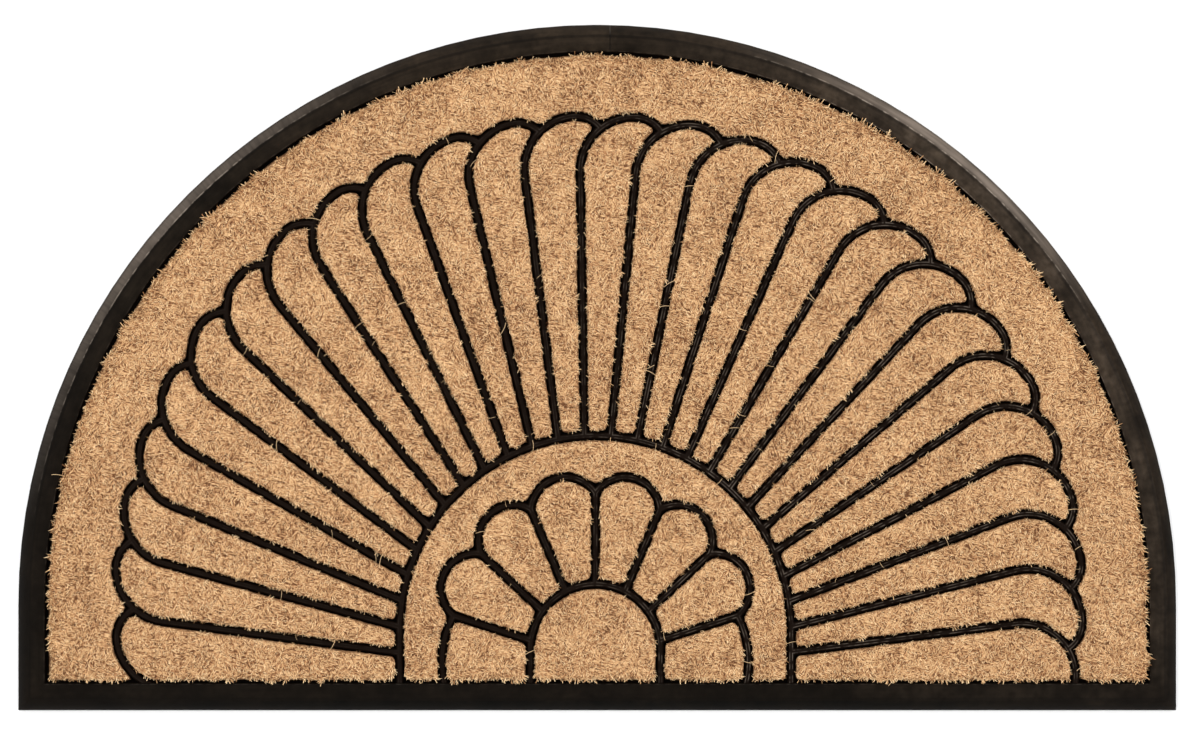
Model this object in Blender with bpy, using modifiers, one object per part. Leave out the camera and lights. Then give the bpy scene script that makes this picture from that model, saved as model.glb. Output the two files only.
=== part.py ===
"""Half-round coir doormat: a black rubber tray, moulded with a raised border and a fan of thin ribs,
whose pockets are filled with pads of cut coir pile.

Metres, +Z up. The origin is on the floor under the middle of the mat. The straight edge faces -Y and
the arc faces +Y. Angles turn anticlockwise from +X, as seen from above.
"""

import math

import bmesh
import bpy
from mathutils import Matrix, Vector
from mathutils.geometry import intersect_line_line_2d

# The whole mat
MAT_WIDTH = 0.750
MAT_DEPTH = 0.444

# The rubber tray
BASE_THICKNESS = 0.0022
BORDER_HEIGHT = 0.0105
BORDER_WIDTH = 0.0175
BORDER_CHAMFER = 0.0065
RIB_HEIGHT = 0.0090
RIB_WIDTH = 0.0028

# The coir pads
PILE_HEIGHT = 0.0140
PILE_ABOVE_BASE = 0.0003
PILE_TO_RIB_LINE = 0.0030
PILE_TO_BORDER = 0.0020
PILE_BEVEL = 0.0016

# The fan: its ribs run straight from a focus on the straight edge, evenly spaced on a pivot circle.
# Each one curls clockwise into an arch that touches the fan's rim circle and then turns down tighter
PETALS = 27
FAN_FOCUS = Vector((-0.0059, -0.2006))
FAN_PIVOT = Vector((0.0005, -0.1766))
FAN_PIVOT_RADIUS = 0.1264
FAN_FIRST_RIB = math.radians(183.75)
FAN_STEP = math.radians(7.483)
FAN_RIM_CENTRE = Vector((0.0010, -0.1500))
FAN_RIM_RADIUS = 0.3132
ARCH_RADIUS = 0.0343
ARCH_END_RADIUS = 0.0200
ARCH_END_SWEEP = math.radians(75)
# The first arch springs from under the border, this far below its inner wall
FIRST_ARCH_DROP = 0.0030

# The half ring round the rosette, the rosette's petals and the half disc at its heart
RING_CENTRE = Vector((-0.0012, -0.1707))
RING_RADIUS = 0.1267
ROSETTE_FOCUS = Vector((-0.0012, -0.1899))
ROSETTE_PETALS = 8
CUSP_RADIUS = 0.0895
END_CUSP_RADIUS = 0.0925
CUSP_STEP = math.radians(27.9)
ROSETTE_ARCH_RADIUS = 0.0228
OUTER_ARCH_RADIUS = 0.0620
DISC_CENTRE = Vector((-0.0012, -0.1822))
DISC_RADIUS = 0.0421

# The longest turn of one straight piece of an arc
RIM_TURN = math.radians(3.75)
ARC_TURN = math.radians(12)
# No point of an arc stands nearer than this to the corner of a cell
SHORTEST_SIDE = 0.0010
# Faces that turn by less than this are one flat face
FLAT_WITHIN = math.radians(0.5)

RUBBER_COLOUR = (0.020, 0.018, 0.016, 1.0)
COIR_COLOUR = (0.53, 0.33, 0.155, 1.0)

# Worked out from the sizes above
MAT_RADIUS = MAT_WIDTH / 2
MAT_CENTRE = Vector((0.0, MAT_DEPTH / 2 - MAT_RADIUS))
FRONT_Y = -MAT_DEPTH / 2
WALL_Y = FRONT_Y + BORDER_WIDTH

# How far a pocket, a pad and a pad's flat top stand inside a rib's centre line and the border's wall
POCKET_INSET = {"rib": RIB_WIDTH / 2, "border": 0.0}
PAD_INSET = {"rib": PILE_TO_RIB_LINE, "border": PILE_TO_BORDER}
PAD_TOP_INSET = {kind: inset + PILE_BEVEL for kind, inset in PAD_INSET.items()}


def direction(angle):
    return Vector((math.cos(angle), math.sin(angle)))


def angle_of(vector):
    return math.atan2(vector.y, vector.x)


def arc(centre, radius, start, end, longest_turn=ARC_TURN):
    """Points of an arc, from one angle to the other."""
    steps = max(1, math.ceil(abs(end - start) / longest_turn))
    angles = [start + (end - start) * step / steps for step in range(steps + 1)]
    return [centre + radius * direction(angle) for angle in angles]


def half_round(centre, radius, foot_y, longest_turn=ARC_TURN):
    """The path up one side, over a half circle and down the other side, anticlockwise."""
    right_foot = Vector((centre.x + radius, foot_y))
    left_foot = Vector((centre.x - radius, foot_y))
    return [right_foot] + arc(centre, radius, 0.0, math.pi, longest_turn) + [left_foot]


def crossing(path, other):
    """The last place along path where it crosses other: both segments' numbers and the point."""
    for first in reversed(range(len(path) - 1)):
        for second in range(len(other) - 1):
            point = intersect_line_line_2d(
                path[first], path[first + 1], other[second], other[second + 1]
            )
            if point is not None:
                return first, second, point
    raise ValueError("two neighbouring sides of a cell never cross")


def moved_left(path, distance):
    """The path moved sideways to its left, each corner along the bisector of its two segments."""
    headings = [(end - start).normalized() for start, end in zip(path, path[1:])]
    moved = []
    for number, point in enumerate(path):
        before = headings[max(number - 1, 0)]
        after = headings[min(number, len(headings) - 1)]
        sideways = Vector((-(before + after).y, (before + after).x)).normalized()
        square = sideways.dot(Vector((-after.y, after.x)))
        moved.append(point + sideways * (distance / square))
    return moved


def outline(sides, inset):
    """The closed outline inside a cell's sides, anticlockwise, each side moved in by its kind's inset."""
    paths = [moved_left(path, inset[kind]) for kind, path in sides]
    corners = [crossing(path, paths[(number + 1) % len(paths)]) for number, path in enumerate(paths)]
    points = []
    for number, path in enumerate(paths):
        _, first, start = corners[number - 1]
        last, _, end = corners[number]
        points.append(start)
        for point in path[first + 1 : last + 1]:
            if min((point - start).length, (point - end).length) > SHORTEST_SIDE:
                points.append(point)
    return points


def grown(points, distance):
    """A closed outline, anticlockwise, moved outwards."""
    around = [points[-1]] + points + [points[0]]
    return moved_left(around, -distance)[1:-1]


def rib_line(number):
    """Where a fan rib's line starts and its heading. The first arch has no rib, only the border."""
    if number == 0:
        return Vector((FAN_FOCUS.x, WALL_Y - FIRST_ARCH_DROP)), Vector((-1.0, 0.0))
    on_pivot = FAN_PIVOT + FAN_PIVOT_RADIUS * direction(FAN_FIRST_RIB - FAN_STEP * (number - 1))
    return FAN_FOCUS, (on_pivot - FAN_FOCUS).normalized()


def rib_with_arch(number):
    """A fan rib from its line's start and its arch, which turns clockwise and runs past its end."""
    start, heading = rib_line(number)
    clockwise = Vector((heading.y, -heading.x))
    beside = start + ARCH_RADIUS * clockwise - FAN_RIM_CENTRE
    along = beside.dot(heading)
    reach = FAN_RIM_RADIUS - ARCH_RADIUS
    run = -along + math.sqrt(along**2 - beside.length_squared + reach**2)
    to_centre = beside + run * heading
    top = angle_of(to_centre)
    spring = top + (-clockwise).angle(to_centre)
    rise = arc(FAN_RIM_CENTRE + to_centre, ARCH_RADIUS, spring, top)
    end_centre = FAN_RIM_CENTRE + (FAN_RIM_RADIUS - ARCH_END_RADIUS) * direction(top)
    fall = arc(end_centre, ARCH_END_RADIUS, top, top - ARCH_END_SWEEP)
    return [start] + rise + fall[1:]


def across(y):
    """A line over the whole width of the mat, from left to right."""
    return [Vector((-MAT_RADIUS, y)), Vector((MAT_RADIUS, y))]


def border_wall():
    """The border's inner wall up the right side, round the arc and down the left side."""
    return half_round(MAT_CENTRE, MAT_RADIUS - BORDER_WIDTH, FRONT_Y, RIM_TURN)


def fan_curves():
    """Each rib with its arch, ended on the next one, and the stretch of it that faces the field."""
    whole = [rib_with_arch(number) for number in range(PETALS)]
    meets = whole[1:] + [across(FRONT_Y)]
    curves = []
    joined_at = None
    for path, following in zip(whole, meets):
        last, on_next, end = crossing(path, following)
        ended = path[: last + 1] + [end]
        arch = ended if joined_at is None else [joined_at[1]] + ended[joined_at[0] + 1 :]
        curves.append({"rib": ended, "arch": arch})
        joined_at = (on_next, end)
    return curves


def rosette_cusps():
    """Where the rosette's petals meet, from left to right."""
    count = ROSETTE_PETALS - 1
    cusps = []
    for number in range(count):
        radius = END_CUSP_RADIUS if number in (0, count - 1) else CUSP_RADIUS
        angle = math.pi / 2 - CUSP_STEP * (number - (count - 1) / 2)
        cusps.append(RING_CENTRE + radius * direction(angle))
    return cusps


def arch_between(start, end, radius):
    """The clockwise arc of less than half a turn from one point to another."""
    chord = end - start
    outward = Vector((-chord.y, chord.x)).normalized()
    centre = (start + end) / 2 - outward * math.sqrt(radius**2 - chord.length_squared / 4)
    first = angle_of(start - centre)
    turn = 2 * math.asin(chord.length / (2 * radius))
    return arc(centre, radius, first, first - turn)


def outer_arch(cusp, side):
    """The flatter arch outside an end petal, from its cusp down to the mat's straight edge."""
    rise = cusp.y - ROSETTE_FOCUS.y
    fall = FRONT_Y - ROSETTE_FOCUS.y
    reach = math.sqrt(OUTER_ARCH_RADIUS**2 - rise**2)
    centre = Vector((cusp.x - side * reach, ROSETTE_FOCUS.y))
    turns = [math.asin(height / OUTER_ARCH_RADIUS) for height in (rise, fall)]
    points = arc(Vector((0.0, 0.0)), OUTER_ARCH_RADIUS, *turns)
    return [centre + Vector((side * point.x, point.y)) for point in points]


def rosette_arches():
    """The rosette's outer arches, clockwise from the left foot to the right foot."""
    cusps = rosette_cusps()
    pairs = zip(cusps, cusps[1:])
    between = [arch_between(start, end, ROSETTE_ARCH_RADIUS) for start, end in pairs]
    return [outer_arch(cusps[0], -1)[::-1]] + between + [outer_arch(cusps[-1], 1)]


def fan_cells(curves, ring):
    """The 27 petals between the ring and the arches."""
    wall = across(WALL_Y)
    cells = {}
    for number in range(PETALS):
        is_last = number == PETALS - 1
        clockwise_side = ("border", wall) if is_last else ("rib", curves[number + 1]["rib"])
        if number == 0:
            sides = [clockwise_side, ("rib", curves[0]["arch"][::-1]), ("border", wall)]
        else:
            sides = [clockwise_side, ("rib", curves[number]["rib"][::-1])]
        cells[f"coir_petal_{number + 1:02d}"] = sides + [("rib", ring[::-1])]
    return cells


def rosette_cells(arches, disc):
    """The rosette's eight petals between its arches and the half disc."""
    wall = across(WALL_Y)
    dividers = [[ROSETTE_FOCUS, cusp] for cusp in rosette_cusps()]
    cells = {}
    for number, arch in enumerate(arches):
        is_last = number == ROSETTE_PETALS - 1
        clockwise_side = ("border", wall) if is_last else ("rib", dividers[number])
        other_side = ("border", wall) if number == 0 else ("rib", dividers[number - 1][::-1])
        sides = [clockwise_side, ("rib", arch[::-1]), other_side, ("rib", disc[::-1])]
        cells[f"coir_rosette_{number + 1}"] = sides
    return cells


def all_cells():
    """Every pad's cell, by name: its sides anticlockwise, each a kind and a path."""
    wall = across(WALL_Y)
    ring = half_round(RING_CENTRE, RING_RADIUS, FRONT_Y, RIM_TURN * 2)
    disc = half_round(DISC_CENTRE, DISC_RADIUS, FRONT_Y)
    curves = fan_curves()
    arches = rosette_arches()
    fan_rim = [("rib", curve["arch"]) for curve in curves]
    rosette_rim = [("rib", arch) for arch in arches]
    outer = [("border", wall), ("border", border_wall())]
    cells = {"coir_field": [("border", wall)] + fan_rim + outer}
    cells.update(fan_cells(curves, ring))
    cells["coir_band"] = [("border", wall)] + rosette_rim + [("border", wall), ("rib", ring)]
    cells.update(rosette_cells(arches, disc))
    cells["coir_half_disc"] = [("border", wall), ("rib", disc)]
    return cells


def material(name, colour, roughness):
    made = bpy.data.materials.new(name)
    made.use_nodes = True
    shader = made.node_tree.nodes["Principled BSDF"]
    shader.inputs["Base Color"].default_value = colour
    shader.inputs["Roughness"].default_value = roughness
    shader.inputs["Metallic"].default_value = 0.0
    made.diffuse_color = colour
    return made


def extruded(name, outlines, bottom, top, collection):
    """A mesh object of flat outlines filled and extruded between two heights, with a single face on
    each flat top and bottom, so that a bevel round it keeps an even width."""
    curve = bpy.data.curves.new(name + "_outline", "CURVE")
    curve.dimensions = "2D"
    curve.fill_mode = "BOTH"
    curve.extrude = (top - bottom) / 2
    for points in outlines:
        spline = curve.splines.new("POLY")
        spline.points.add(len(points) - 1)
        for target, point in zip(spline.points, points):
            target.co = (point.x, point.y, 0.0, 1.0)
        spline.use_cyclic_u = True
    drawn = bpy.data.objects.new(name + "_outline", curve)
    drawn.matrix_world = Matrix.Translation((0.0, 0.0, (top + bottom) / 2))
    collection.objects.link(drawn)
    bpy.context.view_layer.update()
    evaluated = drawn.evaluated_get(bpy.context.evaluated_depsgraph_get())
    mesh = bpy.data.meshes.new_from_object(evaluated)
    welded = bmesh.new()
    welded.from_mesh(mesh)
    bmesh.ops.remove_doubles(welded, verts=welded.verts, dist=0.00001)
    bmesh.ops.recalc_face_normals(welded, faces=welded.faces)
    bmesh.ops.dissolve_limit(welded, angle_limit=FLAT_WITHIN, verts=welded.verts, edges=welded.edges)
    welded.to_mesh(mesh)
    welded.free()
    mesh.name = name
    made = bpy.data.objects.new(name, mesh)
    made.matrix_world = drawn.matrix_world.copy()
    collection.objects.link(made)
    bpy.data.objects.remove(drawn)
    bpy.data.curves.remove(curve)
    return made


def bevel_top_rim(obj, width):
    """Bevels only the edges round the top face."""
    edited = bmesh.new()
    edited.from_mesh(obj.data)
    weight = edited.edges.layers.float.new("bevel_weight_edge")
    for edge in edited.edges:
        tilts = [abs(face.normal.z) for face in edge.link_faces]
        is_high = all(vertex.co.z > 0 for vertex in edge.verts)
        edge[weight] = 1.0 if is_high and min(tilts) < 0.5 < max(tilts) else 0.0
    edited.to_mesh(obj.data)
    edited.free()
    bevel = obj.modifiers.new("top_rim", "BEVEL")
    bevel.limit_method = "WEIGHT"
    bevel.width = width
    bevel.segments = 1
    bevel.use_clamp_overlap = False


def cut(obj, cutter):
    boolean = obj.modifiers.new(cutter.name, "BOOLEAN")
    boolean.operation = "DIFFERENCE"
    boolean.solver = "EXACT"
    boolean.object = cutter
    cutter.hide_render = True
    cutter.display_type = "WIRE"


def rubber_tray(cells, parts, cutters):
    """The tray: a bevelled half-round block, cut down to the ribs and then, pocket by pocket, to the base."""
    mat_outline = half_round(MAT_CENTRE, MAT_RADIUS, FRONT_Y, RIM_TURN)
    tray = extruded("rubber_tray", [mat_outline], 0.0, BORDER_HEIGHT, parts)
    tray.data.materials.append(material("black_rubber", RUBBER_COLOUR, 0.55))
    bevel_top_rim(tray, BORDER_CHAMFER)
    clear = BORDER_HEIGHT + 0.01
    well = outline([("border", across(WALL_Y)), ("border", border_wall())], POCKET_INSET)
    cut(tray, extruded("cut_above_ribs", [well], RIB_HEIGHT, clear, cutters))
    pockets = [outline(sides, POCKET_INSET) for sides in cells.values()]
    cut(tray, extruded("cut_pockets", pockets, BASE_THICKNESS, clear, cutters))
    return tray


def coir_pads(cells, parts):
    """One pad of pile for each pocket, its top edge bevelled. Its outline is grown from that of its top,
    so that the bevel folds over at no short side."""
    coir = material("coir_pile", COIR_COLOUR, 0.95)
    bottom = BASE_THICKNESS + PILE_ABOVE_BASE
    for name, sides in cells.items():
        foot = grown(outline(sides, PAD_TOP_INSET), PILE_BEVEL)
        pad = extruded(name, [foot], bottom, PILE_HEIGHT, parts)
        pad.data.materials.append(coir)
        bevel_top_rim(pad, PILE_BEVEL)
        pad.data.shade_smooth()
        pad.data.set_sharp_from_angle(angle=math.radians(50))


def new_collection(name):
    made = bpy.data.collections.new(name)
    bpy.context.scene.collection.children.link(made)
    return made


def main():
    for obj in list(bpy.data.objects):
        bpy.data.objects.remove(obj)
    parts = new_collection("half_round_doormat")
    cutters = new_collection("cutters")
    cells = all_cells()
    rubber_tray(cells, parts, cutters)
    coir_pads(cells, parts)


if __name__ == "__main__":
    main()
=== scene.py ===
"""Finishes a half-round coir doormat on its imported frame: a moulded black rubber tray, and in each of its
pockets a pad of coir pile with its cut fibres standing up.

Metres, +Z up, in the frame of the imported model. The straight edge faces -Y and the arc faces +Y.
"""

import math
import random
from functools import partialmethod

import bmesh
import bpy
import numpy as np
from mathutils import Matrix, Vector, kdtree, noise
from mathutils.geometry import delaunay_2d_cdt, intersect_line_line_2d


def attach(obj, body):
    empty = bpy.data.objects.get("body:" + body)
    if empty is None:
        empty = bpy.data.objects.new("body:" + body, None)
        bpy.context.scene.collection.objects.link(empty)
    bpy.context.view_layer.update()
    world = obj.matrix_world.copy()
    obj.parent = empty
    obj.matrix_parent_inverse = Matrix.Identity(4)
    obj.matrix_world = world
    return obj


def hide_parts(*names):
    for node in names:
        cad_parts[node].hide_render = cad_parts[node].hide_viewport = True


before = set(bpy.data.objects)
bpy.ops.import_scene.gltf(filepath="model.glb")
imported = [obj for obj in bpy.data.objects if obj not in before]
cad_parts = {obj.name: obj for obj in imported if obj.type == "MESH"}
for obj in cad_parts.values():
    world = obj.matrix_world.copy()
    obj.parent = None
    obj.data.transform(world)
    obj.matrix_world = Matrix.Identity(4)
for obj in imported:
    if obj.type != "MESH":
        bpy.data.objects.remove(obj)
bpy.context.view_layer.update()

bl_info = {
    "name": "Half-round coir doormat",
    "version": (1, 0, 0),
    "blender": (4, 5, 0),
    "location": "3D View > Sidebar > Doormat",
    "description": "Moulds the rubber tray of a half-round doormat and fills its pockets with coir pile",
    "category": "Object",
}

# The mat, as the frame has it
MAT_WIDTH = 0.750
MAT_DEPTH = 0.444
BORDER_WIDTH = 0.0175
PILE_TO_RIB_LINE = 0.0030
PILE_TO_BORDER = 0.0020

# The fan
PETALS = 27
FAN_FOCUS = Vector((-0.0059, -0.2006))
FAN_PIVOT = Vector((0.0005, -0.1766))
FAN_PIVOT_RADIUS = 0.1264
FAN_FIRST_RIB = math.radians(183.75)
FAN_STEP = math.radians(7.483)
FAN_RIM_CENTRE = Vector((0.0010, -0.1500))
FAN_RIM_RADIUS = 0.3132
ARCH_RADIUS = 0.0343
ARCH_END_RADIUS = 0.0200
ARCH_END_SWEEP = math.radians(75)
FIRST_ARCH_DROP = 0.0030

# The half ring, the rosette and the half disc
RING_CENTRE = Vector((-0.0012, -0.1707))
RING_RADIUS = 0.1267
ROSETTE_FOCUS = Vector((-0.0012, -0.1899))
ROSETTE_PETALS = 8
CUSP_RADIUS = 0.0895
END_CUSP_RADIUS = 0.0925
CUSP_STEP = math.radians(27.9)
ROSETTE_ARCH_RADIUS = 0.0228
OUTER_ARCH_RADIUS = 0.0620
DISC_CENTRE = Vector((-0.0012, -0.1822))
DISC_RADIUS = 0.0421

MAT_RADIUS = MAT_WIDTH / 2
MAT_CENTRE = Vector((0.0, MAT_DEPTH / 2 - MAT_RADIUS))
FRONT_Y = -MAT_DEPTH / 2
WALL_Y = FRONT_Y + BORDER_WIDTH

# The mould's seam across the border: where it fades out to each side and inwards, and its pale part
SEAM_X = 0.0083
SEAM_HALF_WIDTH = (0.0002, 0.0006)
SEAM_END = (0.0165, 0.0175)
PALE_SEAM_END = (0.0030, 0.0070)

# How finely the visible curves are drawn
ARC_TURN = math.radians(3)
TRAY_STEP = 0.0030
PILE_STEP = 0.0018

# The border from the floor up, over its top and down its wall: how far in, and how high
BORDER_PROFILE = (
    (0.0004, 0.0),
    (0.0, 0.0004),
    (0.0, 0.0034),
    (0.0003, 0.0041),
    (0.0032, 0.0071),
    (0.0061, 0.0100),
    (0.0067, 0.0104),
    (0.0074, 0.0105),
    (0.0120, 0.0105),
    (0.0166, 0.0105),
    (0.0172, 0.0103),
    (0.0175, 0.0099),
    (0.0175, 0.0090),
)
# A pocket's wall from a rib's top down to the base: how far from the rib's line, and how high
RIB_PROFILE = (
    (0.0004, 0.0090),
    (0.0011, 0.0089),
    (0.0017, 0.0085),
    (0.0021, 0.0078),
    (0.0023, 0.0068),
    (0.0023, 0.0030),
    (0.0026, 0.0022),
)
# A wall beside the border is steeper: how much less far in it is, and how far in it is at least
BORDER_STEEPER = 0.0021
LEDGE = 0.0003

# A pad's flank from its foot up to its top's rim: how far inside the solid pad's side, how high, how many
# fibres it grows against its top, how far out its place lies on its map, and how ragged it is
PAD_PROFILE = (
    (0.0000, 0.0025, 0.0, 0.0040, 0.0),
    (0.0003, 0.0080, 0.0, 0.0026, 0.3),
    (0.0006, 0.0110, 0.0, 0.0015, 0.6),
    (0.0009, 0.0123, 1.9, 0.0006, 0.9),
    (0.0015, 0.0130, 1.9, 0.0000, 1.0),
)
# A pad's top without its lumps, and the uneven rows of points that draw it
PAD_TOP = 0.0133
PAD_GRID = 0.0032
ROW_SPACING = 0.866
GRID_WANDER = 0.22

# How near a pad's rim is to the border's arc to reach out, and its share of that beside a straight run
RIM_REACH = 0.0045
STRAIGHT_REACH = 0.3

# How much narrower the coir is than its solid beside the arc, and how far it leans to the right there
SLOT_WIDER = 0.0006
SLOT_LEAN = 0.0009

# How far the pile hangs over the ribs that run away from the straight edge, and how round its corners are
SIDE_HANG = 0.0004
CORNER_ROUNDING = 3

# The noise in a pad's edge, top and shade, in layers: how strong, how wide the humps, and the layer's number
EDGE_WANDER = ((1.5, 0.0023, 3.7), (0.9, 0.0085, 9.1))
EDGE_BROAD = ((3.1, 0.016, 27.1),)
EDGE_WILD = ((0.6, 0.060, 14.3),)
TOP_LUMPS = ((0.0006, 0.019, 1.3), (0.0004, 0.0065, 5.9))
SHADE_PATCHES = ((0.05, 0.045, 21.7), (0.11, 0.014, 33.1))

# A pad's map for its baked colours: its margin, where the pad starts, its foot's corner, how high and wide
# a fibre's strip is, and how far the strips spread out by shade
MAP_EDGE = 0.01
PAD_ON_MAP = 0.09
FOOT_ON_MAP = 0.012
FIBRE_ON_MAP = 0.06
STRIP_WIDTH = 0.003
SHADE_ON_MAP = 0.94

# The inputs of the tree that plants the fibres, and the doormat's sizes that feed them
PLANTING_SIZES = {
    "Fibres per square metre": "fibre_density",
    "Length": "fibre_length",
    "Width": "fibre_width",
    "Uprightness": "uprightness",
    "Hairs on top": "hairs_on_top",
    "Hairs at rim": "hairs_at_rim",
    "Lean": "lean",
}

# How wide a tuft is, how noise makes its fibres lean together, and a fibre's own lean
TUFT_SIZE = 0.006
COMB = ((3.0, 3.0, 0.0), (-1.5, -1.5, 0.0))
OWN_LEAN = 0.7

# How long a fibre and a loose hair are against their sizes, how much longer a fibre is that reaches out over
# the border, a fibre's own shade from dark to straw, and how deep its foot is sunk in the pad
FIBRE_LENGTHS = (0.6, 1.2)
HAIR_LENGTHS = (0.4, 1.3)
REACHES_OUT = (-0.3, 0.8)
OWN_SHADES = (0.04, 1.0)
SHADE_CURVE = 0.72
FIBRE_SUNK = 0.0003

# How much shorter the fibres beside a rib are, at a pad's rim and on its flank
RIM_TRIM = 0.24
FLANK_TRIM = 0.45

# The cracks between tufts: how far apart, how wide against that, how much darker their fibres are as painted
# shade in the gaps, and how much shorter they are
CRACK_SPACING = 0.0085
CRACK_WIDTH = 0.11
CRACK_PAINTED_SHADE = 0.55
CRACK_TRIM = 0.35

# A loose hair's curve: it rises out of the pile, bends over and comes down again
HAIR_START = (0.0, 0.0, -0.0008)
HAIR_BEND = (0.0040, 0.0, 0.0028)
HAIR_END = (0.0072, 0.0020, 0.0003)
HAIR_STEPS = 7
# Its thickness against a fibre's, and its shade from dark to straw
HAIR_THICKNESS = 0.42
HAIR_SHADE = 0.66

# The dashes between the fibres: their size and their three angles
DASH_LENGTH = 0.0030
DASH_WIDTH = 0.00075
DASH_TURNS = (0.2, 1.2, -1.0)

# Parts of the border by bearing: where each starts, is full, fades and ends
LEFT_ARC = (1.92, 2.36, 2.44, 3.00)
RIGHT_ARC = (0.53, 0.80, 0.96, 1.33)
RIGHT_SIDE = (-0.35, 0.50, 0.95, 1.50)
TOP = (1.0, 1.3, 1.9, 2.3)
BOTTOM = (-2.95, -2.85, -0.30, -0.20)

# How far from the mat's edge the sloping rim, the flat border and the border's own colour end
RIM_TO_FLAT = (0.0060, 0.0066)
FLAT_TO_WALL = (0.0173, 0.0176)
BORDER_TO_RIBS = (0.018, 0.020)

# Where the dust and painted reflection start on the rim and thin near its top, where the brown is thinner on
# the flat beside the rim, and how high they start
DUST_AND_SHEEN_STARTS = (-0.0008, 0.0016)
DUST_AND_SHEEN_THINS = (0.0035, 0.0055)
THINNER_BESIDE_RIM = (0.0062, 0.0068, 0.0078, 0.0088)
OFF_FLOOR = (0.0001, 0.0006)

# Where thin painted highlights lie along the border's two edges and the ribs, and the stretch over which the
# ribs' highlights get stronger to the right
RIM_LINE = (0.0056, 0.0060, 0.0063, 0.0067)
POCKET_LINE = (0.0167, 0.0170, 0.0172, 0.0175)
RIB_LINE = (0.0005, 0.0008, 0.0010, 0.0013)
LEFT_TO_RIGHT = (-0.06, 0.09)

# The camera stands straight above the mat
CAMERA_PLACE = Vector((0.0018, -0.0029, 6.0))
VIEW_WIDTH = 0.7778
SENSOR_WIDTH = 36.0

# The floor, and the soft light from all round
FLOOR_REACH = 3.0
FLOOR_DROP = 0.0002
FLOOR_COLOUR = (0.92, 0.92, 0.92, 1.0)
SKY_COLOUR = (1.0, 1.0, 1.0, 1.0)
SKY_STRENGTH = 0.34

# A ring of soft lights, a little brighter at the top, and a small one that glints on the right-hand ribs
SOFT_LIGHTS = 6
LIGHT_REACH = 1.6
LIGHT_HEIGHT = 1.7
LIGHT_SIZE = 0.9
LIGHT_POWER = 16.3
BRIGHT_SIDE = 0.12
BRIGHT_BEARING = math.radians(90)
GLINT_PLACE = Vector((-0.9, 1.3, 1.7))
GLINT_SIZE = 0.25
GLINT_POWER = 7.0


def direction(angle):
    return Vector((math.cos(angle), math.sin(angle)))


def angle_of(vector):
    return math.atan2(vector.y, vector.x)


def arc(centre, radius, start, end):
    """Points of an arc, from one angle to the other."""
    steps = max(1, math.ceil(abs(end - start) / ARC_TURN))
    angles = [start + (end - start) * step / steps for step in range(steps + 1)]
    return [centre + radius * direction(angle) for angle in angles]


def half_round(centre, radius, foot_y):
    """The path up one side, over a half circle and down the other side, anticlockwise."""
    right_foot = Vector((centre.x + radius, foot_y))
    left_foot = Vector((centre.x - radius, foot_y))
    return [right_foot] + arc(centre, radius, 0.0, math.pi) + [left_foot]


def crossing(path, other):
    """The last place along path where it crosses other: both segments' numbers and the point."""
    for first in reversed(range(len(path) - 1)):
        for second in range(len(other) - 1):
            point = intersect_line_line_2d(path[first], path[first + 1], other[second], other[second + 1])
            if point is not None:
                return first, second, point
    raise ValueError("two neighbouring sides of a cell never cross")


def moved_left(path, distance):
    """The path moved sideways to its left, each corner along the bisector of its two segments."""
    headings = [(end - start).normalized() for start, end in zip(path, path[1:])]
    moved = []
    for number, point in enumerate(path):
        before = headings[max(number - 1, 0)]
        after = headings[min(number, len(headings) - 1)]
        sideways = Vector((-(before + after).y, (before + after).x)).normalized()
        square = sideways.dot(Vector((-after.y, after.x)))
        moved.append(point + sideways * (distance / square))
    return moved


def trimmed_sides(sides, inset):
    """A cell's sides, each moved in by its kind's inset and cut off where it meets the next one."""
    paths = [moved_left(path, inset[kind]) for kind, path in sides]
    corners = [crossing(path, paths[(number + 1) % len(paths)]) for number, path in enumerate(paths)]
    trimmed = []
    for number, path in enumerate(paths):
        _, first, start = corners[number - 1]
        last, _, end = corners[number]
        trimmed.append([start] + path[first + 1 : last + 1] + [end])
    return trimmed


def length_of(path):
    return sum((end - start).length for start, end in zip(path, path[1:]))


def spaced(path, count):
    """That many points, evenly spaced along a path from its start. Its end is the next path's start."""
    places = np.array([tuple(point) for point in path])
    along = np.concatenate([[0.0], np.cumsum(np.linalg.norm(np.diff(places, axis=0), axis=1))])
    wanted = np.arange(count) * along[-1] / count
    return np.column_stack([np.interp(wanted, along, places[:, axis]) for axis in range(2)])


def nested_loops(sides, insets, step):
    """One closed loop for each inset, all with the same number of points, side by side."""
    nested = [trimmed_sides(sides, inset) for inset in insets]
    counts = [max(2, round(length_of(path) / step)) for path in nested[0]]
    return [np.vstack([spaced(*pair) for pair in zip(paths, counts)]) for paths in nested]


def rib_line(number):
    """Where a fan rib's line starts and its heading. The first arch has no rib, only the border."""
    if number == 0:
        return Vector((FAN_FOCUS.x, WALL_Y - FIRST_ARCH_DROP)), Vector((-1.0, 0.0))
    on_pivot = FAN_PIVOT + FAN_PIVOT_RADIUS * direction(FAN_FIRST_RIB - FAN_STEP * (number - 1))
    return FAN_FOCUS, (on_pivot - FAN_FOCUS).normalized()


def rib_with_arch(number):
    """A fan rib from its line's start and its arch, which turns clockwise and runs past its end."""
    start, heading = rib_line(number)
    clockwise = Vector((heading.y, -heading.x))
    beside = start + ARCH_RADIUS * clockwise - FAN_RIM_CENTRE
    along = beside.dot(heading)
    reach = FAN_RIM_RADIUS - ARCH_RADIUS
    run = -along + math.sqrt(along**2 - beside.length_squared + reach**2)
    to_centre = beside + run * heading
    top = angle_of(to_centre)
    spring = top + (-clockwise).angle(to_centre)
    rise = arc(FAN_RIM_CENTRE + to_centre, ARCH_RADIUS, spring, top)
    end_centre = FAN_RIM_CENTRE + (FAN_RIM_RADIUS - ARCH_END_RADIUS) * direction(top)
    fall = arc(end_centre, ARCH_END_RADIUS, top, top - ARCH_END_SWEEP)
    return [start] + rise + fall[1:]


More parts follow.
